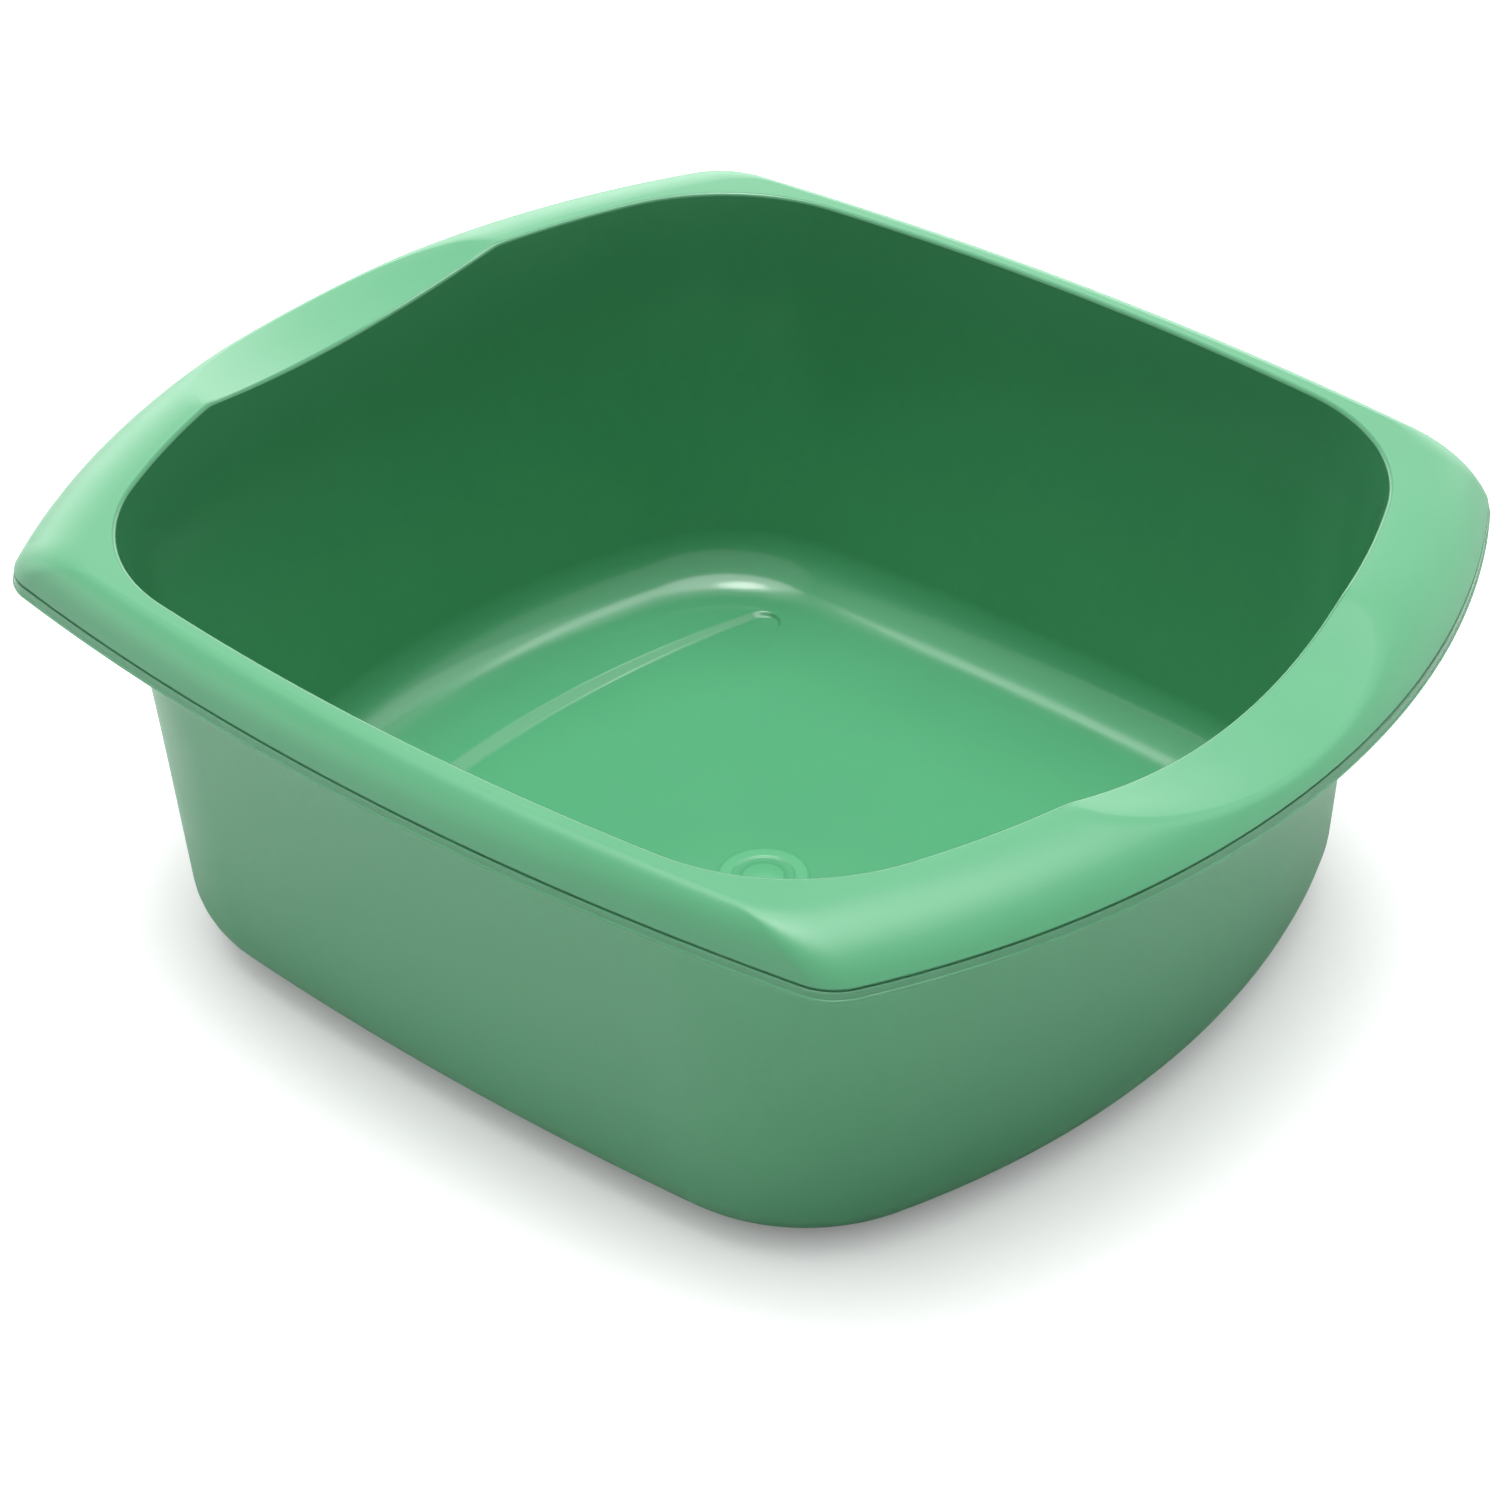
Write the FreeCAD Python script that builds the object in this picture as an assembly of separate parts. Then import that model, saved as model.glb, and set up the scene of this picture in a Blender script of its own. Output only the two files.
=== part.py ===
import FreeCAD, Part
import math
import os

# Washing up bowl: one moulding with a rolled rim, two scooped handle ends and two lens feet.
# Millimetres, Z up, origin on the standing plane under the middle of the bowl, X from handle to handle.

# Mouth: the edge where the inner wall meets the top of the rim
mouth_half_length = 165.5
mouth_half_width = 149.0
mouth_end_radius = 260.0
mouth_side_radius = 863.0
mouth_corner_radius = 63.7
rim_height = 140.0

# Rim outline, on the band that hangs below the roll: widths from the mouth to the outermost edge
rim_end_width = 28.9
rim_side_width = 13.7
lip_end_radius = 280.0
lip_side_radius = 890.0
lip_corner_radius = 17.6

# Outside of the wall, drawn down to a sharp corner at the underside of the floor
base_half_length = 153.5
base_half_width = 136.6
base_end_radius = 260.0
base_side_radius = 1100.0
base_corner_radius = 57.0
base_height = 2.3
base_rounding = 21.5
flare_end = 4.1
flare_side = 2.0
flare_power = 6

# Skins
wall = 2.0
rim_wall = 2.0
floor_skin = 2.0

# Rim section: flat land that widens at the corners, elliptical roll, shadow groove, band standing out below
land_width = 3.0
land_side_radius = 1150.0
land_corner_radius = 20.0
roll_drop = 12.3
roll_turn = 66.0
groove_depth = 1.6
groove_height = 1.1
band_height = 3.0
roll_set_back = 0.8
mouth_edge_radius = 1.2
band_edge_radius = 0.6

# Thumb scoops across the rim at the two handle ends
scoop_depth = 8.0
scoop_radius = 242.0

# Lens pockets in the floor, which stand out below as the two feet
lens_centre = 89.9
lens_half_width = 24.6
lens_side_radius = 318.0
lens_tip_radius = 6.5
lens_slope = 0.057
lens_bank_angle = 58.0
lens_bank_depth = 3.2

# Moulding gate in the middle of the floor
gate_ring_radius = 13.7
gate_ring_width = 4.2
gate_ring_height = 0.5
gate_dome_radius = 7.0
gate_dome_height = 1.0
gate_pit_radius = 5.0
gate_pit_depth = 1.0

# How far cutters run past what they cut, and how deep joined blocks reach into each other
overrun = 15.0
lap = 1.0

# Sizes that follow from the ones above
lip_half_length = mouth_half_length + rim_end_width
lip_half_width = mouth_half_width + rim_side_width
floor_height = base_height + floor_skin
groove_top = rim_height - roll_drop
band_top = groove_top - groove_height
band_bottom = band_top - band_height
wall_rise = rim_height - base_height

LIP = (lip_half_length, lip_half_width, lip_end_radius, lip_side_radius, lip_corner_radius)
MOUTH = (mouth_half_length, mouth_half_width, mouth_end_radius, mouth_side_radius, mouth_corner_radius)
BASE = (base_half_length, base_half_width, base_end_radius, base_side_radius, base_corner_radius)
LAND = (
    mouth_half_length + land_width,
    mouth_half_width + land_width,
    mouth_end_radius + land_width,
    land_side_radius,
    land_corner_radius,
)


def vec(x, y, z):
    return FreeCAD.Vector(x, y, z)


def grown(outline, distance):
    """The parallel outline at a distance: every half size and radius grows by it."""
    return tuple(value + distance for value in outline)


def between(first, second, share):
    return tuple(a + (b - a) * share for a, b in zip(first, second))


def on_circle(centre, toward, radius):
    dx = toward[0] - centre[0]
    dy = toward[1] - centre[1]
    reach = math.hypot(dx, dy)
    return (centre[0] + dx * radius / reach, centre[1] + dy * radius / reach)


def outline_wire(outline, z):
    """Bowed rectangle of eight tangent arcs: two ends, two sides, four corners."""
    half_length, half_width, end_radius, side_radius, corner_radius = outline
    end_centre = (half_length - end_radius, 0.0)
    side_centre = (0.0, half_width - side_radius)
    to_end = end_radius - corner_radius
    to_side = side_radius - corner_radius
    dx = side_centre[0] - end_centre[0]
    dy = side_centre[1] - end_centre[1]
    apart = math.hypot(dx, dy)
    along = (to_end ** 2 - to_side ** 2 + apart ** 2) / (2.0 * apart)
    across = math.sqrt(to_end ** 2 - along ** 2)
    corner = (
        end_centre[0] + (along * dx - across * dy) / apart,
        end_centre[1] + (along * dy + across * dx) / apart,
    )
    a = on_circle(end_centre, corner, end_radius)
    c = on_circle(side_centre, corner, side_radius)
    middle = ((a[0] + c[0]) / 2.0, (a[1] + c[1]) / 2.0)
    b = on_circle(corner, middle, corner_radius)
    runs = [
        ((a[0], -a[1]), (half_length, 0.0), a),
        (a, b, c),
        (c, (0.0, half_width), (-c[0], c[1])),
        ((-c[0], c[1]), (-b[0], b[1]), (-a[0], a[1])),
        ((-a[0], a[1]), (-half_length, 0.0), (-a[0], -a[1])),
        ((-a[0], -a[1]), (-b[0], -b[1]), (-c[0], -c[1])),
        ((-c[0], -c[1]), (0.0, -half_width), (c[0], -c[1])),
        ((c[0], -c[1]), (b[0], -b[1]), (a[0], -a[1])),
    ]
    edges = []
    for start, mid, end in runs:
        arc = Part.Arc(vec(start[0], start[1], z), vec(mid[0], mid[1], z), vec(end[0], end[1], z))
        edges.append(arc.toShape())
    return Part.Wire(edges)


def block(sections, straight=False):
    """Solid through a stack of (outline, height) sections."""
    return Part.makeLoft([outline_wire(outline, z) for outline, z in sections], True, straight)


def wall_outline(share, inset):
    """Wall outline at a share of the wall's rise: straight draft with a flare towards the mouth."""
    top = grown(MOUTH, wall)
    drafted = list(between(BASE, top, share))
    curl = share ** flare_power - share
    drafted[0] += flare_end * curl
    drafted[1] += flare_side * curl
    return grown(tuple(drafted), -inset)


def wall_block(inset, bottom, rounding, top):
    """Solid bounded by the wall, with its bottom corner rounded."""
    steps = [0.0, 0.2, 0.4, 0.6, 0.75, 0.88, 1.0]
    low = (bottom - base_height) / wall_rise
    high = (top - base_height) / wall_rise
    sections = []
    for step in steps:
        share = low + (high - low) * step
        sections.append((wall_outline(share, inset), base_height + wall_rise * share))
    solid = block(sections)
    rim_of_floor = [e for e in solid.Edges if e.BoundBox.ZMax < bottom + 0.01]
    return solid.makeFillet(rounding, rim_of_floor)


def roll_sections(edge, skirt, top, bottom):
    """Elliptical arc from the land's edge outward and down to the skirt, turning less than a quarter."""
    turn = math.radians(roll_turn)
    sections = []
    for step in (0.0, 0.07, 0.16, 0.27, 0.4, 0.55, 0.7, 0.86, 1.0):
        share = math.sin(turn * step) / math.sin(turn)
        fall = (1.0 - math.cos(turn * step)) / (1.0 - math.cos(turn))
        sections.append((between(edge, skirt, share), top - (top - bottom) * fall))
    return sections


def scoop(extra):
    """Cutter for both thumb scoops: a wide cylinder lying along X, sunk into the rim."""
    axis_height = rim_height - scoop_depth + scoop_radius
    start = mouth_half_length - overrun
    length = rim_end_width + 2.0 * overrun
    cutters = []
    for left in (start, -start - length):
        origin = vec(left, 0, axis_height)
        cutters.append(Part.makeCylinder(scoop_radius + extra, length, origin, vec(1, 0, 0)))
    return cutters[0].fuse(cutters[1])


def lens_wire(side, grow, z):
    """Lens outline of two wide arcs and two tip arcs."""
    arc_radius = lens_side_radius + grow
    tip_radius = lens_tip_radius + grow
    half_width = lens_half_width + grow
    offset = arc_radius - half_width
    tip_y = math.sqrt((arc_radius - tip_radius) ** 2 - offset ** 2)
    x = side * lens_centre
    touch = on_circle((-offset, 0.0), (0.0, tip_y), arc_radius)
    tip = tip_y + tip_radius
    runs = [
        ((touch[0], -touch[1]), (half_width, 0.0), (touch[0], touch[1])),
        ((touch[0], touch[1]), (0.0, tip), (-touch[0], touch[1])),
        ((-touch[0], touch[1]), (-half_width, 0.0), (-touch[0], -touch[1])),
        ((-touch[0], -touch[1]), (0.0, -tip), (touch[0], -touch[1])),
    ]
    edges = []
    for start, mid, end in runs:
        points = [vec(x + p[0], p[1], z) for p in (start, mid, end)]
        edges.append(Part.Arc(points[0], points[1], points[2]).toShape())
    return Part.Wire(edges)


def lens_block(side, grow, top, low, drop):
    """Lens with a sloping bank all round, floored by a plane that falls towards the end wall."""
    run = lens_bank_depth * math.tan(math.radians(lens_bank_angle))
    mouth = lens_wire(side, grow, low)
    bottom = lens_wire(side, grow - run, low - lens_bank_depth)
    bank = Part.makeLoft([mouth, bottom], True, True)
    upper = Part.Face(mouth).extrude(vec(0, 0, top - low))
    inner = lens_centre - lens_half_width
    start = inner - overrun
    stop = lens_centre + lens_half_width + overrun
    plane = floor_height - drop
    corners = [
        vec(side * start, -base_half_width, plane - (start - inner) * lens_slope),
        vec(side * stop, -base_half_width, plane - (stop - inner) * lens_slope),
        vec(side * stop, -base_half_width, plane + 2.0 * overrun),
        vec(side * start, -base_half_width, plane + 2.0 * overrun),
    ]
    above = Part.Face(Part.makePolygon(corners + corners[:1])).extrude(vec(0, 2.0 * base_half_width, 0))
    return bank.fuse(upper).common(above)


def dome(radius, height, z):
    """Spherical cap standing on a plane."""
    ball_radius = (radius ** 2 + height ** 2) / (2.0 * height)
    ball = Part.makeSphere(ball_radius, vec(0, 0, z + height - ball_radius))
    return ball.common(Part.makeCylinder(radius + lap, height + lap, vec(0, 0, z)))


def edges_on(solid, skin, low, high):
    """Edges of a solid, between two heights, whose middles lie on the skin of another shape."""
    found = []
    for edge in solid.Edges:
        middle = edge.valueAt((edge.FirstParameter + edge.LastParameter) / 2.0)
        if low < middle.z < high and skin.distToShape(Part.Vertex(middle))[0] < 0.005:
            found.append(edge)
    return found


# Outside of the bowl with its two feet; the wall ends inside the thickness of the rim's top
tuck = rim_wall / 2.0
bank = math.radians(lens_bank_angle)
foot_grow = floor_skin * (1.0 / math.cos(bank) - math.tan(bank))
outside = wall_block(0.0, base_height, base_rounding, rim_height - tuck)
above_ground = Part.Face(outline_wire(BASE, 0.0)).extrude(vec(0, 0, floor_height))
for side in (1, -1):
    foot = lens_block(side, foot_grow, base_height + lap, base_height, floor_skin)
    outside = outside.fuse(foot.common(above_ground))

# Rim: solid roll, groove and band, less the channel underneath
skirt = grown(LIP, -roll_set_back)
rim = block(roll_sections(LAND, skirt, rim_height, groove_top))
neck = block([(grown(LIP, -groove_depth), band_top), (grown(LIP, -groove_depth), groove_top)], True)
band = block([(LIP, band_bottom), (LIP, band_top)], True)
channel_skirt = grown(skirt, -rim_wall)
channel = block(roll_sections(LAND, channel_skirt, rim_height - rim_wall, groove_top))
drop_out = block([(channel_skirt, band_bottom - lap), (channel_skirt, groove_top)], True)
channel = channel.fuse(drop_out).cut(scoop(rim_wall))
rim = rim.fuse([neck, band]).cut(scoop(0.0)).cut(channel)

# Inside of the bowl with the floor pockets
inside = wall_block(wall, floor_height, base_rounding - wall, rim_height)
lid = Part.Face(outline_wire(wall_outline(1.0, wall), rim_height)).extrude(vec(0, 0, overrun))
inside = inside.fuse(lid)
for side in (1, -1):
    inside = inside.fuse(lens_block(side, 0.0, floor_height + lap, floor_height, 0.0))

bowl = outside.cut(scoop(tuck)).fuse(rim).cut(inside)

# Softened edges: round the mouth and along the foot of the hanging band
mouth_edges = edges_on(bowl, inside, rim_height - scoop_depth - 0.5, rim_height + 0.5)
bowl = bowl.makeFillet(mouth_edge_radius, mouth_edges)
band_edges = edges_on(bowl, outline_wire(LIP, band_bottom), band_bottom - 0.1, band_bottom + 0.1)
bowl = bowl.makeFillet(band_edge_radius, band_edges)

# Moulding gate: raised ring and dome inside, pit with a clean bottom underneath
ring_foot = vec(0, 0, floor_height - lap)
ring_bore = gate_ring_radius - gate_ring_width
ring = Part.makeCylinder(gate_ring_radius, gate_ring_height + lap, ring_foot)
ring = ring.cut(Part.makeCylinder(ring_bore, gate_ring_height + lap, ring_foot))
bowl = bowl.fuse(ring).fuse(dome(gate_dome_radius, gate_dome_height, floor_height))
bowl = bowl.cut(Part.makeCylinder(gate_pit_radius, gate_pit_depth, vec(0, 0, base_height)))

os.makedirs("parts", exist_ok=True)
bowl = bowl.Solids[0]
bowl.exportStep("parts/bowl.step")
print("bowl", bowl.isValid(), len(bowl.Faces), round(bowl.Volume / 1000.0, 1), bowl.BoundBox)
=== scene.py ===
# %% [markdown]
# A washing up bowl is one piece of plastic, pressed into a steel mould in a few seconds.
# The CAD frame already holds its true shape, so this lesson loads it first.
# Everything that follows is the same moulding again, with the soft edges and the finish that light shows.

# %% Load the frame
import math
from functools import lru_cache

import bmesh
import bpy
from mathutils import Matrix, Vector


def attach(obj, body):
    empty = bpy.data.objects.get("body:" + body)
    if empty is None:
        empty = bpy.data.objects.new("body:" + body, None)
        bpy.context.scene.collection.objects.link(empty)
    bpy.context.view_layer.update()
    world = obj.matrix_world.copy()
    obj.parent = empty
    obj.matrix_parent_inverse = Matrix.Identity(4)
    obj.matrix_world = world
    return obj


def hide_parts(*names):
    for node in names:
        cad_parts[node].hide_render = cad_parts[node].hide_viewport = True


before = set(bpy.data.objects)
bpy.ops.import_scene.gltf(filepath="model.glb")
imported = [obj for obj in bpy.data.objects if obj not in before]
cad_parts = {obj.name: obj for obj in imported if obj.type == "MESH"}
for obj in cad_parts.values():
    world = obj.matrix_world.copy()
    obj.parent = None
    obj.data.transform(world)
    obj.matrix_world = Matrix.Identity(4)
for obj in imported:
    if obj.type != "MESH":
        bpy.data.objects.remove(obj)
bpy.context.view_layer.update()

# %% [markdown]
# The sizes are in millimetres, as a mould maker writes them, and are the ones that the CAD source uses.
# Each outline has five numbers: half length, half width, end radius, side radius and corner radius.
# Eight arcs that run smoothly into each other give the bowed rectangle of the mouth, the rim and the base.

# %% Sizes of the moulding
MM = 0.001
mouth = (165.5, 149.0, 260.0, 863.0, 63.7)
lip = (194.4, 162.7, 280.0, 890.0, 17.6)
base = (153.5, 136.6, 260.0, 1100.0, 57.0)
rim_height = 140.0
base_height = 2.3
skin = 2.0
floor_height = base_height + skin


def grown(outline, distance):
    return tuple(value + distance for value in outline)


def between(first, second, share):
    return tuple(a + (b - a) * share for a, b in zip(first, second))


print("rim", 2 * lip[0], "x", 2 * lip[1], "mm, height", rim_height, "mm")

# %% [markdown]
# A ring of points runs round every outline, and each point belongs to a column that goes down the whole bowl.
# A column sits at the same share of the same arc on every ring, so the faces between rings stay even.
# The ends get the closest columns, because the thumb scoops need them.

# %% Columns on the eight arcs
arc_steps = (112, 36, 72, 36, 112, 36, 72, 36)
columns = [(arc, step / steps) for arc, steps in enumerate(arc_steps) for step in range(steps)]


@lru_cache(maxsize=None)
def arcs(outline):
    half_length, half_width, end_radius, side_radius, corner_radius = outline
    end_x, side_y = half_length - end_radius, half_width - side_radius
    to_end, to_side = end_radius - corner_radius, side_radius - corner_radius
    apart = math.hypot(end_x, side_y)
    along = (to_end ** 2 - to_side ** 2 + apart ** 2) / (2.0 * apart)
    across = math.sqrt(to_end ** 2 - along ** 2)
    corner_x = end_x + (-along * end_x - across * side_y) / apart
    corner_y = (along * side_y - across * end_x) / apart
    first = math.atan2(corner_y, corner_x - end_x)
    second = math.atan2(corner_y - side_y, corner_x)
    half, turn = math.pi, 2.0 * math.pi
    return (
        (end_x, 0.0, end_radius, -first, first),
        (corner_x, corner_y, corner_radius, first, second),
        (0.0, side_y, side_radius, second, half - second),
        (-corner_x, corner_y, corner_radius, half - second, half - first),
        (-end_x, 0.0, end_radius, half - first, half + first),
        (-corner_x, -corner_y, corner_radius, half + first, half + second),
        (0.0, -side_y, side_radius, half + second, turn - second),
        (corner_x, -corner_y, corner_radius, turn - second, turn - first),
    )


def spot(outline, column):
    arc, share = columns[column]
    x, y, radius, start, stop = arcs(outline)[arc]
    angle = start + (stop - start) * share
    return x + radius * math.cos(angle), y + radius * math.sin(angle)


def level_ring(outline, height):
    return [spot(outline, c) + (height,) for c in range(len(columns))]


print(len(columns), "columns; mouth starts at", [round(v, 2) for v in spot(mouth, 0)])

# %% [markdown]
# By hand, a shell like this grows from one edge loop: extrude it, move it to the next height, extrude again.
# The helper does that with Blender's own extrude operator.
# The new points start exactly on the old ones, so each finds its column by place and then moves on.

# %% Extruding ring after ring
def start_loop(name, points):
    if bpy.context.mode != "OBJECT":
        bpy.ops.object.mode_set(mode="OBJECT")
    bpy.ops.object.select_all(action="DESELECT")
    bpy.ops.mesh.primitive_circle_add(vertices=len(points), radius=lip[0] * MM, location=(0, 0, 0))
    made = bpy.context.object
    made.name = name
    made.data.name = name
    for vertex, point in zip(made.data.vertices, points):
        vertex.co = [value * MM for value in point]
    bpy.ops.object.mode_set(mode="EDIT")
    bpy.ops.mesh.select_mode(type="EDGE")
    bpy.ops.mesh.select_all(action="SELECT")
    return made


def extrude_loop(points):
    mesh = bpy.context.object.data
    place = {}
    grid = bmesh.from_edit_mesh(mesh)
    grid.verts.ensure_lookup_table()
    count = len(points)
    for column, vertex in enumerate(grid.verts[-count:]):
        place[tuple(vertex.co)] = column
    bpy.ops.mesh.extrude_region_move()
    grid = bmesh.from_edit_mesh(mesh)
    grid.verts.ensure_lookup_table()
    fresh = list(grid.verts[-count:])
    order = [place[tuple(vertex.co)] for vertex in fresh]
    if order != list(range(count)):
        raise ValueError("the extruded points came out in another order")
    for vertex, column in zip(fresh, order):
        vertex.co = [value * MM for value in points[column]]
    bmesh.update_edit_mesh(mesh)


print("each ring of the shell has", len(columns), "points")

# %% [markdown]
# The wall leans outward so that the bowl leaves its mould, and it flares a little more near the mouth.
# Where it meets the floor, a large rounding keeps the corner easy to wipe.
# The rounding is an arc that touches both the floor and the leaning wall, so no edge shows there.

# %% Inside: floor corner and wall
flare = (4.1, 2.0)
flare_power = 6
base_rounding = 21.5
wall_lean = 0.084
arc_end = math.pi / 2 - math.atan(wall_lean)


def wall_outline(height, inset):
    share = (height - base_height) / (rim_height - base_height)
    drafted = list(between(base, grown(mouth, skin), share))
    curl = share ** flare_power - share
    drafted[0] += flare[0] * curl
    drafted[1] += flare[1] * curl
    return grown(tuple(drafted), -inset)


def corner_ring(angle, radius, bottom, inset):
    height = bottom + radius * (1.0 - math.cos(angle))
    pulled_in = radius * (math.hypot(1.0, wall_lean) - wall_lean * math.cos(angle) - math.sin(angle))
    return level_ring(wall_outline(height, inset + pulled_in), height)


inner_radius = base_rounding - skin
apron = 0.3
flat_inset = skin + apron + inner_radius * (math.hypot(1.0, wall_lean) - wall_lean)
bowl = start_loop("bowl_shell", level_ring(wall_outline(floor_height, flat_inset), floor_height))
for step in range(13):
    extrude_loop(corner_ring(arc_end * step / 12.0, inner_radius, floor_height, skin))
corner_top = floor_height + inner_radius * (1.0 - math.cos(arc_end))
print("inside corner rises to", round(corner_top, 1), "mm")

# %% [markdown]
# Each handle end has a thumb scoop: a wide shallow trough that dips 8 mm across the rim.
# It is part of a large cylinder that lies along the bowl, so its height depends on y alone.
# A soft minimum joins it to the rim, because a mould has no knife edges there.

# %% Thumb scoop and mouth height
scoop_depth, scoop_radius, scoop_reach = 8.0, 242.0, 120.0
above_rim = rim_height + 40.0
mouth_blend = 0.5


def soft_min(a, b, blend):
    near = max(blend - abs(a - b), 0.0) / blend
    return min(a, b) - near * near * blend / 4.0


def scoop_height(y):
    if abs(y) > scoop_reach:
        return above_rim
    return rim_height - scoop_depth + scoop_radius - math.sqrt(scoop_radius ** 2 - y * y)


def mouth_top(column):
    return soft_min(rim_height, scoop_height(spot(mouth, column)[1]), mouth_blend)


tops = [mouth_top(c) for c in range(len(columns))]
print("mouth edge between", round(min(tops), 2), "and", round(max(tops), 2), "mm")

# %% [markdown]
# The inner wall climbs to the mouth, which is lower inside the scoops, so every column has its own top.
# A small rounding then turns the wall into the rim, and this narrow edge catches a bright line of light.

# %% Inside wall and mouth edge
mouth_rounding = 1.2
wall_shares = (0.14, 0.28, 0.42, 0.55, 0.67, 0.77, 0.85, 0.91, 0.96)


def wall_spot(column, height, inset):
    return spot(wall_outline(height, inset), column)


leans = []
for c, top in enumerate(tops):
    leans.append(math.dist(wall_spot(c, top, skin), wall_spot(c, top - 1.0, skin)))


def wall_ring(tops_of_ring, share, inset, bottom):
    ring = []
    for c, top in enumerate(tops_of_ring):
        height = bottom + (top - bottom) * share
        ring.append(wall_spot(c, height, inset) + (height,))
    return ring


def mouth_ring(share):
    ring = []
    for c, top in enumerate(tops):
        start = math.atan(leans[c])
        angle = start + (math.pi / 2 - start) * share
        out = mouth_rounding * (math.hypot(1.0, leans[c]) - leans[c] - math.cos(angle))
        outline = grown(wall_outline(top, skin), out)
        ring.append(spot(outline, c) + (top - mouth_rounding * (1.0 - math.sin(angle)),))
    return ring


wall_tops = [point[2] for point in mouth_ring(0.0)]
for share in wall_shares:
    extrude_loop(wall_ring(wall_tops, share, skin, corner_top))
for step in range(7):
    extrude_loop(mouth_ring(step / 6.0))
bowl.update_from_editmode()
inside_faces = len(bowl.data.polygons)
print("inside faces so far", inside_faces)

# %% [markdown]
# The top of the rim is a narrow flat land and a roll, an arc of an ellipse that falls to the skirt.
# On the handles the scoop meets the roll along a crease, which is the line that the eye follows on this bowl.
# The rings are slid until one lies exactly on that crease, with close rings on both sides to round it.

# %% Finding the crease
land_width, land_side_radius, land_corner_radius = 3.0, 1150.0, 20.0
land = grown(mouth, land_width)[:3] + (land_side_radius, land_corner_radius)
roll_turn, roll_drop, roll_set_back = math.radians(66.0), 12.3, 0.8
skirt = grown(lip, -roll_set_back)
wide_blend, wide_from = 2.2, 0.5


def roll_fall(share):
    share = min(max(share, 0.0), 1.0) * math.sin(roll_turn)
    return (1.0 - math.sqrt(1.0 - share * share)) / (1.0 - math.cos(roll_turn))


def roll_height(share):
    return rim_height - roll_drop * roll_fall(share)


def rim_blend(share):
    return mouth_blend + (wide_blend - mouth_blend) * min(max(share, 0.0) / wide_from, 1.0)


def rim_point(column, share):
    x, y = spot(between(land, skirt, share), column)
    return x, y, soft_min(roll_height(share), scoop_height(y), rim_blend(share))


def crease_share(column):
    low, high = 0.0, 1.0
    if scoop_height(spot(land, column)[1]) >= rim_height:
        return 0.0
    for _ in range(40):
        share = (low + high) / 2.0
        if roll_height(share) > scoop_height(spot(between(land, skirt, share), column)[1]):
            low = share
        else:
            high = share
    return low


creases = [crease_share(c) for c in range(len(columns))]
roll_widths = [math.dist(spot(land, c), spot(skirt, c)) for c in range(len(columns))]
print("crease reaches", round(max(s * w for s, w in zip(creases, roll_widths)), 1), "mm out from the land")

# %% [markdown]
# With the crease known, the rim is extruded in three groups: pad, rounded crease and the rest of the roll.
# Away from the handles the same rings simply lie on the land and the roll.

# %% Pad, crease and roll
crease_half = 1.2


def pad_ring(share):
    ring = []
    for c, top in enumerate(tops):
        lean = leans[c]
        inner = grown(wall_outline(top, skin), mouth_rounding * (math.hypot(1.0, lean) - lean))
        edge = creases[c] - crease_half / roll_widths[c]
        x, y = spot(between(inner, between(land, skirt, edge), share), c)
        inner_edge = -land_width / roll_widths[c]
        rolled = roll_height(inner_edge + (edge - inner_edge) * share)
        ring.append((x, y, soft_min(rolled, scoop_height(y), rim_blend(edge * share))))
    return ring


for share in (0.2, 0.4, 0.6, 0.8):
    extrude_loop(pad_ring(share))
for step in range(-3, 4):
    offset = crease_half * step / 3.0
    extrude_loop([rim_point(c, creases[c] + offset / roll_widths[c]) for c in range(len(columns))])
roll_starts = []
for c in range(len(columns)):
    roll_starts.append(math.asin(math.sin(roll_turn) * (creases[c] + crease_half / roll_widths[c])))
for step in range(1, 15):
    ring = []
    for c, start in enumerate(roll_starts):
        angle = start + (roll_turn - start) * step / 14.0
        ring.append(rim_point(c, math.sin(angle) / math.sin(roll_turn)))
    extrude_loop(ring)
print("roll ends at", round(ring[0][2], 1), "mm")

# %% [markdown]
# Under the roll runs a shadow groove about 1 mm high, and below it a thin band stands out.
# The groove is a dark line in any light. The band ends in a fine ledge, which shows as a thin pale line.
# The numbers are pairs: how far inside the lip, and how far below the top of the groove.
# The count of faces is kept before and after, so that the band can get its own finish later.

# %% Groove and band
groove_top = rim_height - roll_drop
groove_and_band = (
    (0.86, 0.08), (1.0, 0.2), (1.3, 0.36), (1.4, 0.58), (1.3, 0.82), (1.05, 0.96), (0.8, 1.04), (0.66, 1.14),
    (0.58, 1.3), (0.54, 1.6), (0.5, 2.0), (0.46, 2.4), (0.42, 2.8), (0.38, 2.98), (0.3, 3.08), (0.12, 3.14),
    (0.02, 3.26), (0.0, 3.5), (0.05, 3.78), (0.2, 3.98), (0.5, 4.1), (2.4, 4.1), (2.7, 4.02), (2.8, 3.8),
)
bowl.update_from_editmode()
band_start = len(bowl.data.polygons)
for inset, down in groove_and_band:
    extrude_loop(level_ring(grown(lip, -inset), groove_top - down))
bowl.update_from_editmode()
band_stop = len(bowl.data.polygons)
print("band hangs", round(max(down for inset, down in groove_and_band), 2), "mm below the roll")

# %% [markdown]
# The rim is hollow underneath, as on every bowl that is lifted by its ends: fingers hook into this channel.
# Its roof follows the roll and the scoop at one skin's distance, so that the plastic is equally thick there.

# %% Channel under the rim
channel_skirt = grown(skirt, -skin)
roof = rim_height - skin
roof_rounding = 0.8
roof_corner = ((roof_rounding, 0.0), (0.25, 0.25), (0.0, roof_rounding))


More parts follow.
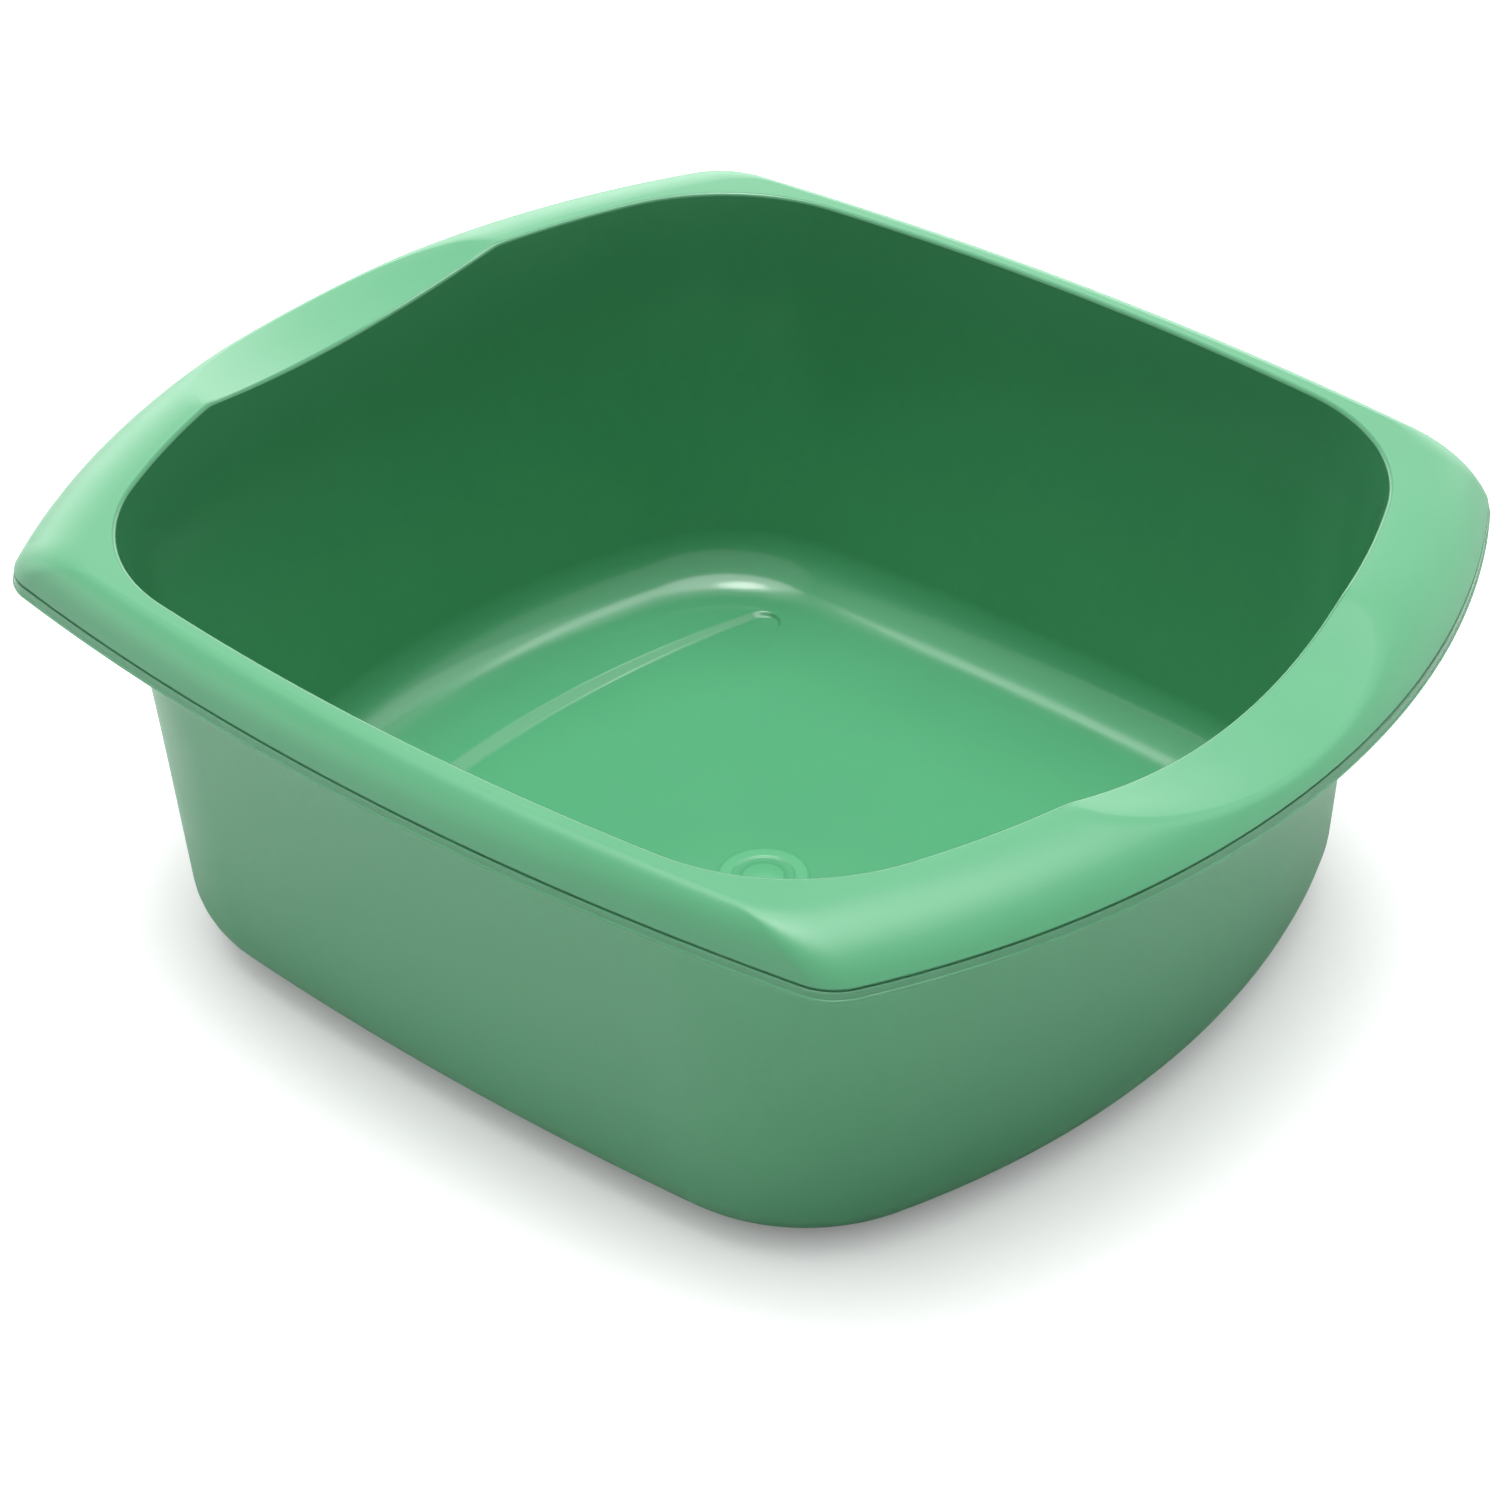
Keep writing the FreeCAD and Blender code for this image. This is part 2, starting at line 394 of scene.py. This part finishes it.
def roof_point(column, share):
    x, y = spot(between(land, channel_skirt, share), column)
    rolled = roof - (roof - groove_top) * roll_fall(share)
    return x, y, soft_min(rolled, scoop_height(y) - skin, wide_blend)


for step in range(15):
    share = math.sin(roll_turn * (1.0 - step / 14.0)) / math.sin(roll_turn)
    extrude_loop([roof_point(c, share) for c in range(len(columns))])
roof_tops = [soft_min(roof, scoop_height(spot(mouth, c)[1]) - skin, wide_blend) for c in range(len(columns))]
for out, down in roof_corner:
    ring = []
    for c, top in enumerate(roof_tops):
        ring.append(spot(grown(wall_outline(top - down, 0.0), out), c) + (top - down,))
    extrude_loop(ring)
print("channel roof between", round(min(roof_tops), 1), "and", round(max(roof_tops), 1), "mm")

# %% [markdown]
# The outside of the wall runs parallel to the inside, one skin away, down to the large rounding at the base.
# A last flat ring on the underside leaves a clean edge for the faces that close the bottom.

# %% Outside wall and base rounding
outer_corner_top = base_height + base_rounding * (1.0 - math.cos(arc_end))
under_roof = [top - roof_rounding for top in roof_tops]
for share in reversed(wall_shares):
    extrude_loop(wall_ring(under_roof, share, 0.0, outer_corner_top))
for step in range(12, -1, -1):
    extrude_loop(corner_ring(arc_end * step / 12.0, base_rounding, base_height, 0.0))
under_inset = apron + base_rounding * (math.hypot(1.0, wall_lean) - wall_lean)
extrude_loop(level_ring(wall_outline(base_height, under_inset), base_height))
bpy.ops.object.mode_set(mode="OBJECT")
print("shell faces", len(bowl.data.polygons))

# %% [markdown]
# Two lens shaped pockets are pressed into the floor, and below it the same forms stand out as the feet.
# A pocket has a bank all round and a floor that falls towards the end wall, so it fades to nothing inside.
# The lens is two wide arcs and two small tip arcs, and its rings get the same extrude treatment.

# %% Lens outline
lens_centre, lens_half_width = 89.9, 24.6
lens_side_radius, lens_tip_radius = 318.0, 6.5
lens_slope, outer_run = 0.057, math.tan(math.radians(58.0))
lens_steps = (96, 24, 96, 24)


def lens_ring(grow):
    wide, tip = lens_side_radius + grow, lens_tip_radius + grow
    offset = wide - (lens_half_width + grow)
    tip_y = math.sqrt((wide - tip) ** 2 - offset ** 2)
    lean = math.atan2(tip_y, offset)
    parts = (
        (-offset, 0.0, wide, -lean, lean),
        (0.0, tip_y, tip, lean, math.pi - lean),
        (offset, 0.0, wide, math.pi - lean, math.pi + lean),
        (0.0, -tip_y, tip, math.pi + lean, 2.0 * math.pi - lean),
    )
    ring = []
    for (x, y, radius, start, stop), steps in zip(parts, lens_steps):
        for step in range(steps):
            angle = start + (stop - start) * step / steps
            across, along = math.cos(angle), math.sin(angle)
            ring.append((lens_centre + x + radius * across, y + radius * along, across, along))
    return ring


print("lens is", round(2 * max(point[1] for point in lens_ring(0.0)), 1), "mm long")

# %% [markdown]
# The bank is a wide slope on the outer side, where it shows as a pale stripe, and steep round the tips.
# Both of its corners are rounded. A quadratic curve towards the sharp corner gives that rounding,
# and it shrinks with the depth, so the pocket runs out into the floor without a step.

# %% Lens section
least_depth, most_rounding = 0.02, 0.45
floor_lap, pocket_lap = 0.25, 1.0
curve_shares = [((1.0 - t) ** 2, t * t) for t in (0.0, 0.2, 0.4, 0.6, 0.8, 1.0)]


def lens_section(point, level, soft_top, soft_low, inner_run):
    x, y, across, along = point
    inner_tip = lens_centre - lens_half_width
    bank_run = outer_run + (inner_run - outer_run) * min(1.0 - across, 1.0)
    deep = max(lens_slope * (x - inner_tip) / (1.0 + lens_slope * bank_run * across), least_depth)
    bank = math.hypot(1.0, bank_run)
    slope = deep * bank
    top_reach, low_reach = min(soft_top, most_rounding * slope), min(soft_low, most_rounding * slope)
    run, fall = bank_run / bank, -1.0 / bank
    floor_fall = lens_slope * across
    section = [(-top_reach - floor_lap, 0.0)]
    for a, c in curve_shares:
        section.append((-top_reach * a + top_reach * run * c, top_reach * fall * c))
    corner = (slope * run, slope * fall)
    for a, c in curve_shares:
        section.append((
            corner[0] - low_reach * run * a + low_reach * c,
            corner[1] - low_reach * fall * a + low_reach * floor_fall * c,
        ))
    flat = low_reach + pocket_lap
    section.append((corner[0] + flat, corner[1] + flat * floor_fall))
    return [(x - across * inward, y - along * inward, level + drop) for inward, drop in section]


def lens_piece(name, grow, level, soft_top, soft_low, inner_run):
    sections = [lens_section(point, level, soft_top, soft_low, inner_run) for point in lens_ring(grow)]
    rings = list(zip(*sections))
    made = start_loop(name, rings[0])
    for ring in rings[1:]:
        extrude_loop(ring)
    bpy.ops.mesh.edge_face_add()
    return made


pocket = lens_piece(
    "lens_pocket", grow=0.0, level=floor_height, soft_top=0.6, soft_low=1.2, inner_run=0.5,
)
bpy.ops.object.mode_set(mode="OBJECT")
print("pocket faces", len(pocket.data.polygons))

# %% [markdown]
# The foot is the same lens one skin lower. It would end in a slope, so it is cut level with the table:
# bisect removes what lies below zero and fills the cut, and that flat face is what the bowl stands on.

# %% Foot
foot = lens_piece(
    "lens_foot", grow=-0.8, level=base_height, soft_top=0.5, soft_low=0.8, inner_run=outer_run,
)
bpy.ops.mesh.select_all(action="SELECT")
bpy.ops.mesh.bisect(
    plane_co=(0, 0, 0), plane_no=(0, 0, 1), clear_inner=True, use_fill=True, threshold=1e-7,
)
bpy.ops.object.mode_set(mode="OBJECT")
print("foot stands at", round(min(v.co.z for v in foot.data.vertices) / MM, 3), "mm")

# %% [markdown]
# The second pocket and foot are copies turned half round, each with its own mesh.
# The turn is applied, because a finished piece keeps its place in its mesh and its object at the origin.

# %% Copies for the other end
def turned_copy(piece):
    bpy.ops.object.select_all(action="DESELECT")
    piece.select_set(True)
    bpy.context.view_layer.objects.active = piece
    bpy.ops.object.duplicate(linked=False)
    copy = bpy.context.object
    copy.rotation_euler = (0.0, 0.0, math.pi)
    bpy.ops.object.transform_apply(location=False, rotation=True, scale=False)
    return copy


lenses = [pocket, foot, turned_copy(pocket), turned_copy(foot)]
print([piece.name for piece in lenses])

# %% [markdown]
# Plastic enters the mould through a gate in the middle of the floor. It leaves a low ring with a dome inside,
# and a small pit below. A circle that is extruded and resized step by step is the quickest way to such forms.
# The profiles are pairs of radius and height, and the dome is the cap of a large sphere.

# %% Gate ring and pit
def turned_piece(name, profile, sides):
    bpy.ops.object.select_all(action="DESELECT")
    radius, height = profile[0]
    bpy.ops.mesh.primitive_circle_add(vertices=sides, radius=radius * MM, location=(0, 0, height * MM))
    made = bpy.context.object
    made.name = name
    bpy.ops.object.transform_apply(location=True, rotation=False, scale=False)
    bpy.ops.object.mode_set(mode="EDIT")
    bpy.ops.mesh.select_all(action="SELECT")
    for next_radius, next_height in profile[1:]:
        bpy.ops.mesh.extrude_region_move()
        share = next_radius / radius
        bpy.ops.transform.resize(value=(share, share, 1.0), center_override=(0, 0, 0))
        bpy.ops.transform.translate(value=(0.0, 0.0, (next_height - height) * MM))
        radius, height = next_radius, next_height
    bpy.ops.mesh.edge_face_add()
    bpy.ops.object.mode_set(mode="OBJECT")
    return made


ring_profile = [
    (16.0, 0.0), (14.2, 0.0), (13.9, 0.08), (13.5, 0.4), (13.1, 0.5), (10.1, 0.5), (9.7, 0.4), (9.4, 0.06),
    (9.2, 0.0), (7.6, 0.0), (7.2, 0.05),
]
dome_radius, dome_height, dome_sphere, dome_pole = 7.0, 1.0, 24.9, 0.25
dome_angle = math.radians(16.3)
for step in range(1, 9):
    angle = dome_angle * (1.0 - step / 8.0)
    radius = max(dome_radius * math.sin(angle) / math.sin(dome_angle), dome_pole)
    ring_profile.append((radius, dome_height - dome_sphere * (1.0 - math.cos(angle))))
pit_profile = [(7.0, 0.0), (5.3, 0.0), (5.0, 0.3), (5.0, 0.9), (4.9, 1.0), (0.5, 1.0)]
gate = turned_piece("gate_ring", [(r, floor_height + h) for r, h in ring_profile], 96)
pit = turned_piece("gate_pit", [(r, base_height + h) for r, h in pit_profile], 64)
print("gate faces", len(gate.data.polygons), "pit faces", len(pit.data.polygons))

# %% [markdown]
# Joining puts all loops into one mesh, and fill then closes the flat floor between outer loop and holes.
# The underside is closed in the same way, one skin lower. After that the normals are turned to face outward.

# %% One closed moulding
bpy.ops.object.select_all(action="DESELECT")
for piece in lenses + [gate, pit, bowl]:
    piece.select_set(True)
bpy.context.view_layer.objects.active = bowl
bpy.ops.object.join()
bpy.ops.object.mode_set(mode="EDIT")
bpy.ops.mesh.select_mode(type="EDGE")
for height in (floor_height, base_height):
    bpy.ops.mesh.select_all(action="DESELECT")
    grid = bmesh.from_edit_mesh(bowl.data)
    for edge in grid.edges:
        flat = all(abs(vertex.co.z - height * MM) < 1e-6 for vertex in edge.verts)
        edge.select_set(edge.is_boundary and flat)
    bmesh.update_edit_mesh(bowl.data)
    bpy.ops.mesh.fill(use_beauty=True)
bpy.ops.mesh.select_all(action="SELECT")
bpy.ops.mesh.normals_make_consistent(inside=False)
bpy.ops.object.mode_set(mode="OBJECT")
check = bmesh.new()
check.from_mesh(bowl.data)
open_edges = [edge for edge in check.edges if not edge.is_manifold]
print("open edges", len(open_edges), "volume in cm3", round(check.calc_volume() * 1e6, 1))
check.free()

# %% [markdown]
# Smooth shading hides the facets, while edges sharper than the angle stay crisp.
# Weighted normals let large flat faces win over the small faces of the roundings, so the floor stays flat.

# %% Smooth shading
bpy.ops.object.select_all(action="DESELECT")
bowl.select_set(True)
bpy.context.view_layer.objects.active = bowl
bpy.ops.object.shade_smooth_by_angle(angle=math.radians(38.0))
weighted = bowl.modifiers.new("flat_faces_first", "WEIGHTED_NORMAL")
weighted.keep_sharp = True
bpy.ops.object.modifier_apply(modifier=weighted.name)
bowl.name = "bowl_moulding"
print("triangles", sum(len(polygon.vertices) - 2 for polygon in bowl.data.polygons))

# %% [markdown]
# The bowl is polypropylene, coloured right through and injection moulded.
# The core of the mould is polished, so the inside is glossy.
# The cavity is lightly etched, so the rim and the outside are satin.
# Colours are written as sRGB hex and turned to linear light by one function. One more function adds a node.

# %% Colour and node helpers
def linear(hex_colour):
    channels = [int(hex_colour[i:i + 2], 16) / 255.0 for i in (1, 3, 5)]
    return [c / 12.92 if c <= 0.04045 else ((c + 0.055) / 1.055) ** 2.4 for c in channels] + [1.0]


def add_node(tree, kind, settings=None, links=None):
    made = tree.nodes.new(kind)
    for name, value in (settings or {}).items():
        if name in made.inputs:
            made.inputs[name].default_value = value
        else:
            setattr(made, name, value)
    for name, source in (links or {}).items():
        tree.links.new(source, made.inputs[name])
    return made


def fresh_material(name):
    material = bpy.data.materials.new(name)
    material.use_nodes = True
    material.node_tree.nodes.clear()
    return material


print("green in linear light", [round(v, 3) for v in linear("#60B282")])

# %% [markdown]
# Moulded plastic is never one flat colour. The melt carries its pigment in faint clouds, some centimetres
# wide, the gloss changes a little with them, and the mould surface leaves a fine grain.
# A real grain of about 0.1 mm would vanish at this picture size, so it is drawn near 1 mm and very shallow.
# A colour mix has sockets of one name for several types, so its two colours are set by number.

# %% Polypropylene finishes
cloud_mm = 45.0


def polypropylene(name, light, dark, rough_low, rough_high, grain_mm, grain_depth_mm):
    material = fresh_material(name)
    tree = material.node_tree
    place = add_node(tree, "ShaderNodeTexCoord")
    clouds = add_node(
        tree, "ShaderNodeTexNoise",
        {"Scale": 1.0 / (cloud_mm * MM), "Detail": 3.0, "Roughness": 0.5},
        {"Vector": place.outputs["Object"]},
    )
    colour = add_node(tree, "ShaderNodeMix", {"data_type": "RGBA"})
    colour.inputs[6].default_value = linear(dark)
    colour.inputs[7].default_value = linear(light)
    tree.links.new(clouds.outputs["Fac"], colour.inputs[0])
    gloss = add_node(
        tree, "ShaderNodeMapRange",
        {"From Min": 0.3, "From Max": 0.7, "To Min": rough_low, "To Max": rough_high},
        {"Value": clouds.outputs["Fac"]},
    )
    grain = add_node(
        tree, "ShaderNodeTexNoise",
        {"Scale": 1.0 / (grain_mm * MM), "Detail": 2.0, "Roughness": 0.6},
        {"Vector": place.outputs["Object"]},
    )
    bump = add_node(
        tree, "ShaderNodeBump",
        {"Strength": 0.35, "Distance": grain_depth_mm * MM},
        {"Height": grain.outputs["Fac"]},
    )
    surface = add_node(
        tree, "ShaderNodeBsdfPrincipled",
        {"IOR": 1.49},
        {
            "Base Color": colour.outputs[2],
            "Roughness": gloss.outputs["Result"],
            "Normal": bump.outputs["Normal"],
        },
    )
    add_node(tree, "ShaderNodeOutputMaterial", {}, {"Surface": surface.outputs["BSDF"]})
    return material


polished = polypropylene(
    "polypropylene_polished_moulding", light="#5AAA7B", dark="#56A577",
    rough_low=0.14, rough_high=0.19, grain_mm=1.6, grain_depth_mm=0.006,
)
satin = polypropylene(
    "polypropylene_satin_moulding", light="#60B282", dark="#5BAD7D",
    rough_low=0.34, rough_high=0.40, grain_mm=0.9, grain_depth_mm=0.02,
)
print(polished.name, satin.name)

# %% [markdown]
# The polished finish covers the inside up to the mouth edge, the floor with its pockets, and the thin band.
# Inside and band are known by the order in which their faces were made, and the floor by its height.
# The gate ring and its dome stay satin, because they look a little paler than the floor around them.

# %% Finishes on their faces
bowl.data.materials.clear()
for finish in (polished, satin):
    bowl.data.materials.append(finish)
counts = [0, 0]
gate_radius, gate_low = 13.8, floor_height + 0.2
pocket_low, dome_high = 0.8, floor_height + 1.5
for polygon in bowl.data.polygons:
    x, y, z = [value / MM for value in polygon.center]
    on_floor = polygon.normal.z > 0.05 and pocket_low < z < dome_high
    on_gate = math.hypot(x, y) < gate_radius and z > gate_low
    on_band = band_start <= polygon.index < band_stop
    polish = polygon.index < inside_faces or on_band or (on_floor and not on_gate)
    polygon.material_index = 0 if polish else 1
    counts[polygon.material_index] += 1
print("faces polished and satin:", counts)

# %% [markdown]
# The piece now takes the place of its CAD solid, which stays in the frame for collision.

# %% Place in the frame
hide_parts("bowl")
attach(bowl, "root")
print("bowl_moulding rides on root")

# %% [markdown]
# The photograph shows the bowl on a white table under a wide soft light from above.
# A large pale plane is that table. It sends light back up to the outer walls and keeps the soft shadow.

# %% Table
bpy.ops.object.select_all(action="DESELECT")
bpy.ops.mesh.primitive_plane_add(size=30.0, location=(0, 0, 0))
table = bpy.context.object
table.name = "white_table"
print("table", [round(v, 1) for v in table.dimensions])

# %% [markdown]
# The camera sees the paint greyer than the bowl does, and a glow of the table's own, which is painted light,
# lifts it to white.
# The glow follows how open a spot is, which the ambient occlusion node measures over 90 mm.
# So the glow paints a shadow round the bowl on top of the lamps' real one: deep where the bowl stands,
# fading to white, and with only a faint tint of green.
# Mirror images get about a fifth of the glow, so that the satin walls keep their colour.

# %% Paint and glow of the table
paint_for_bowl, paint_for_camera = "#EFEFEF", "#BEBEBE"
open_reach_mm, open_glow, least_glow = 90.0, 0.95, 0.08
mirror_share = 0.22
paper = fresh_material("white_painted_table")
paint = paper.node_tree
paint_path = add_node(paint, "ShaderNodeLightPath")
paint_colour = add_node(paint, "ShaderNodeMix", {"data_type": "RGBA"})
paint_colour.inputs[6].default_value = linear(paint_for_bowl)
paint_colour.inputs[7].default_value = linear(paint_for_camera)
paint.links.new(paint_path.outputs["Is Camera Ray"], paint_colour.inputs[0])
paint_surface = add_node(
    paint, "ShaderNodeBsdfPrincipled",
    {"Roughness": 0.9, "Specular IOR Level": 0.0},
    {"Base Color": paint_colour.outputs[2]},
)
mirror = add_node(paint, "ShaderNodeMath", {"operation": "MAXIMUM"})
paint.links.new(paint_path.outputs["Is Glossy Ray"], mirror.inputs[0])
paint.links.new(paint_path.outputs["Is Transmission Ray"], mirror.inputs[1])
viewed = add_node(paint, "ShaderNodeMath", {"operation": "MULTIPLY_ADD"})
paint.links.new(mirror.outputs[0], viewed.inputs[0])
viewed.inputs[1].default_value = mirror_share
paint.links.new(paint_path.outputs["Is Camera Ray"], viewed.inputs[2])
# Painted shadow: the ambient occlusion dims the table's glow where the bowl stands close by.
painted_shadow_mask = add_node(paint, "ShaderNodeAmbientOcclusion", {"Distance": open_reach_mm * MM, "samples": 16})
glow = add_node(paint, "ShaderNodeMath", {"operation": "MULTIPLY_ADD"})
paint.links.new(painted_shadow_mask.outputs["AO"], glow.inputs[0])
glow.inputs[1].default_value = open_glow
glow.inputs[2].default_value = least_glow
glow_seen = add_node(paint, "ShaderNodeMath", {"operation": "MULTIPLY"})
paint.links.new(viewed.outputs[0], glow_seen.inputs[0])
paint.links.new(glow.outputs[0], glow_seen.inputs[1])
paint_glow = add_node(
    paint, "ShaderNodeEmission",
    {"Color": linear("#FFFFFF")},
    {"Strength": glow_seen.outputs[0]},
)
painted = add_node(paint, "ShaderNodeAddShader")
paint.links.new(paint_surface.outputs["BSDF"], painted.inputs[0])
paint.links.new(paint_glow.outputs["Emission"], painted.inputs[1])
add_node(paint, "ShaderNodeOutputMaterial", {}, {"Surface": painted.outputs["Shader"]})
table.data.materials.append(paper)
print(paper.name, "with", len(paint.nodes), "nodes")

# %% [markdown]
# The overhead softbox is a sun lamp with a wide disc, so the floor is equally bright everywhere.
# A smaller disc stands for its brighter centre, which gives the white glint on the rounded floor corner.

# %% Softbox
scene = bpy.context.scene
bpy.ops.object.light_add(type="SUN", location=(0, 0, 2.0))
softbox = bpy.context.object
softbox.name = "overhead_softbox"
softbox.data.energy = 3.2
softbox.data.angle = math.radians(54.0)
softbox.rotation_euler = (math.radians(-4.5), math.radians(-4.0), 0.0)
bpy.ops.object.light_add(type="SUN", location=(0, 0, 2.2))
centre = bpy.context.object
centre.name = "softbox_centre"
centre.data.energy = 0.6
centre.data.angle = math.radians(15.0)
centre.rotation_euler = (math.radians(2.2), math.radians(-6.8), 0.0)
print("softbox", softbox.data.energy, "with a disc of", round(math.degrees(softbox.data.angle)), "degrees")

# %% [markdown]
# Four panels stand for the lit walls of a studio. They show in reflections only, and leave the colours alone.
# The low ones give the far rim its sheen, and the upper one the pale stripe on the pocket's bank.
# Each has a turn about the vertical, a width, a height of its own, a level above the table and a power.

# %% Reflected panels
camera_turn = 41.24
panel_distance = 2.0
panels = (
    ("back_panel", camera_turn, 3.6, 1.0, 0.55, 22.0),
    ("left_panel", 121.0, 2.4, 1.0, 0.55, 10.0),
    ("right_panel", -39.0, 2.4, 1.0, 0.55, 6.0),
    ("upper_panel", -25.4, 1.4, 1.2, 2.4, 7.0),
)
for name, turn, width, tall, level, power in panels:
    away = Matrix.Rotation(math.radians(turn), 3, "Z") @ Vector((0.0, panel_distance, 0.0))
    bpy.ops.object.light_add(type="AREA", location=away + Vector((0.0, 0.0, level)))
    panel = bpy.context.object
    panel.name = name
    panel.data.shape = "RECTANGLE"
    panel.data.size = width
    panel.data.size_y = tall
    panel.data.energy = power
    panel.rotation_euler = (-panel.location).to_track_quat("-Z", "Y").to_euler()
    panel.visible_diffuse = False
print("panels", [panel[0] for panel in panels])

# %% [markdown]
# The world adds a weak fill, and looks white to the camera and in reflections.

# %% World
world_fill = 0.03
scene.world = bpy.data.worlds.new("white_studio")
scene.world.use_nodes = True
air = scene.world.node_tree
air.nodes.clear()
path = add_node(air, "ShaderNodeLightPath")
seen = add_node(air, "ShaderNodeMath", {"operation": "MAXIMUM"})
air.links.new(path.outputs["Is Camera Ray"], seen.inputs[0])
air.links.new(path.outputs["Is Glossy Ray"], seen.inputs[1])
clear = add_node(air, "ShaderNodeMath", {"operation": "MAXIMUM"})
air.links.new(seen.outputs[0], clear.inputs[0])
air.links.new(path.outputs["Is Transmission Ray"], clear.inputs[1])
strength = add_node(
    air, "ShaderNodeMapRange",
    {"To Min": world_fill, "To Max": 1.0},
    {"Value": clear.outputs[0]},
)
sky = add_node(
    air, "ShaderNodeBackground",
    {"Color": linear("#FFFFFF")},
    {"Strength": strength.outputs["Result"]},
)
add_node(air, "ShaderNodeOutputWorld", {}, {"Surface": sky.outputs["Background"]})
scene.view_settings.view_transform = "Standard"
print("world fill", world_fill)

# %% [markdown]
# The camera comes from the photograph: a place, three angles and a focal length.
# They were found by fitting the mouth edge, the groove line and the outline of wall and foot.

# %% Camera
camera_tilt, camera_roll = 35.54, -1.41
bpy.ops.object.camera_add(location=(0.6873, -0.7864, 0.7954))
camera = bpy.context.object
camera.name = "photo_camera"
turned = Matrix.Rotation(math.radians(camera_turn), 3, "Z")
tilted = Matrix.Rotation(math.radians(90.0 - camera_tilt), 3, "X")
rolled = Matrix.Rotation(math.radians(camera_roll), 3, "Z")
camera.rotation_euler = (turned @ tilted @ rolled).to_euler()
camera.data.lens = 103.47
camera.data.sensor_width = 36.0
scene.camera = camera
print("camera looks from", [round(v, 3) for v in camera.location])
